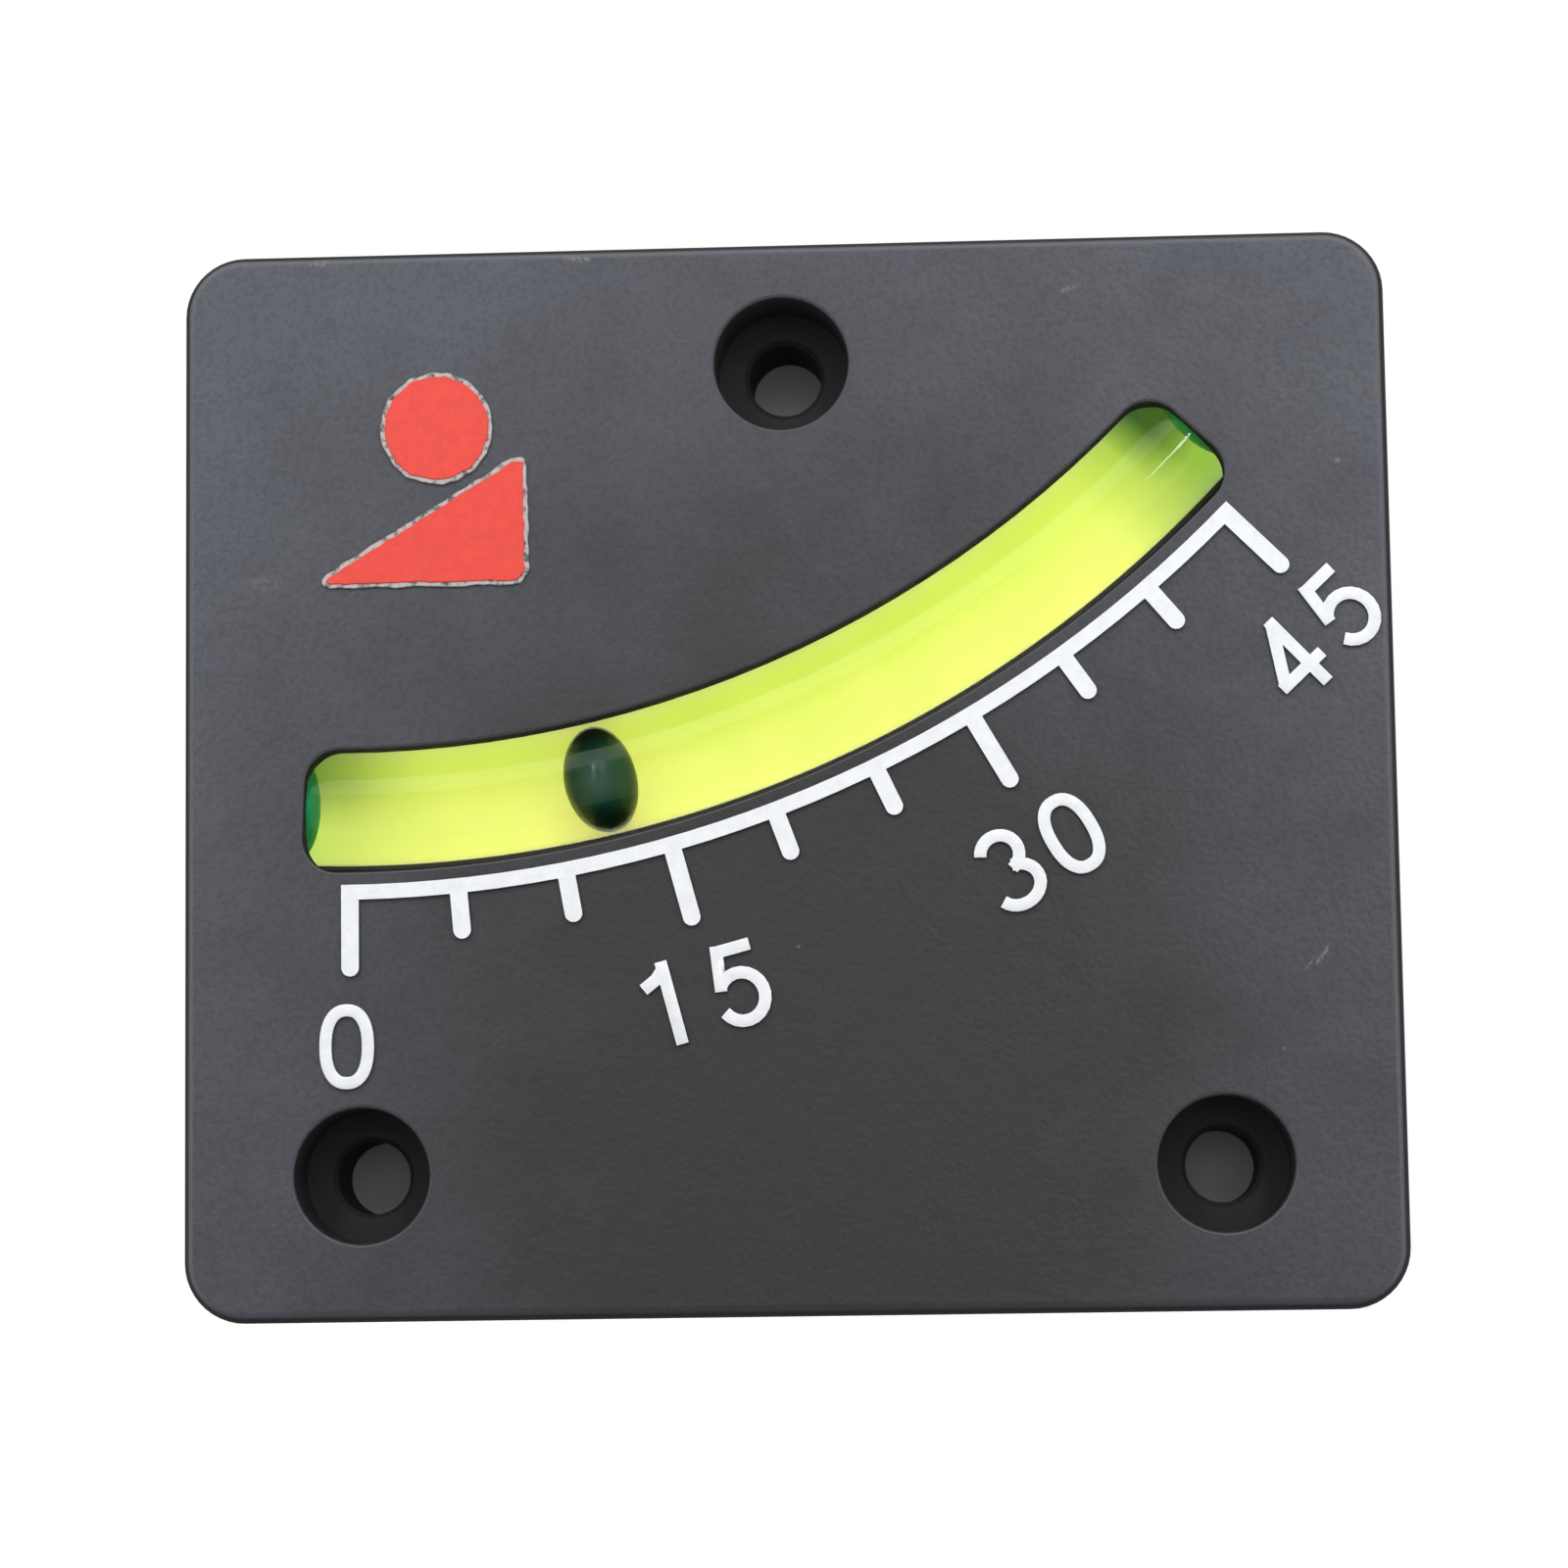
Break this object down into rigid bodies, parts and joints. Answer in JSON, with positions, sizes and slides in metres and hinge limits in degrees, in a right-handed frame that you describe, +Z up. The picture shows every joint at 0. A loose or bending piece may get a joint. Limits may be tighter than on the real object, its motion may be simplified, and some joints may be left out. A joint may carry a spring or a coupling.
{
  "type": "ball inclinometer",
  "caption": "Panel-mounted ball inclinometer: a rounded plate with a curved window, a bent fluid-filled tube with a rolling ball, and a raised scale of degrees.",
  "frame": {"origin": "the middle of the flat rear face, where the instrument meets its panel", "axes": "+Y out of the rear face into the panel, +X to the right along the longest side as the scale is read, +Z up in use"},
  "size_m": [0.09, 0.0143, 0.08],
  "materials": {
    "housing_plastic": "fine textured moulding, dark grey",
    "cover_plastic": "fine textured moulding, dark grey",
    "clear_tube": "clear, polished",
    "plug_rubber": "smooth, dark green",
    "ball_steel": "blackened and polished",
    "fluid": "clear fluorescent yellow-green",
    "liner_plastic": "matte white",
    "white_film": "hot-stamped white film",
    "screw_steel": "zinc plated"
  },
  "bodies": {
    "housing": {"front_housing": "housing_plastic", "back_cover": "cover_plastic", "vial_tube": "clear_tube", "left_end_plug": "plug_rubber", "right_end_plug": "plug_rubber", "damping_fluid": "fluid", "reflector_liner": "liner_plastic", "scale_film": "white_film", "cover_screws": "screw_steel"},
    "ball": {"indicator_ball": "ball_steel"}
  },
  "joints": [
    {"name": "ball_travel", "type": "hinge", "parent": "housing", "child": "ball", "pos_m": [-0.0325, -0.0082, 0.08404], "axis": [0, -1, 0], "range_deg": [-12.3, 32.7], "deforming": ["damping_fluid"]}
  ]
}
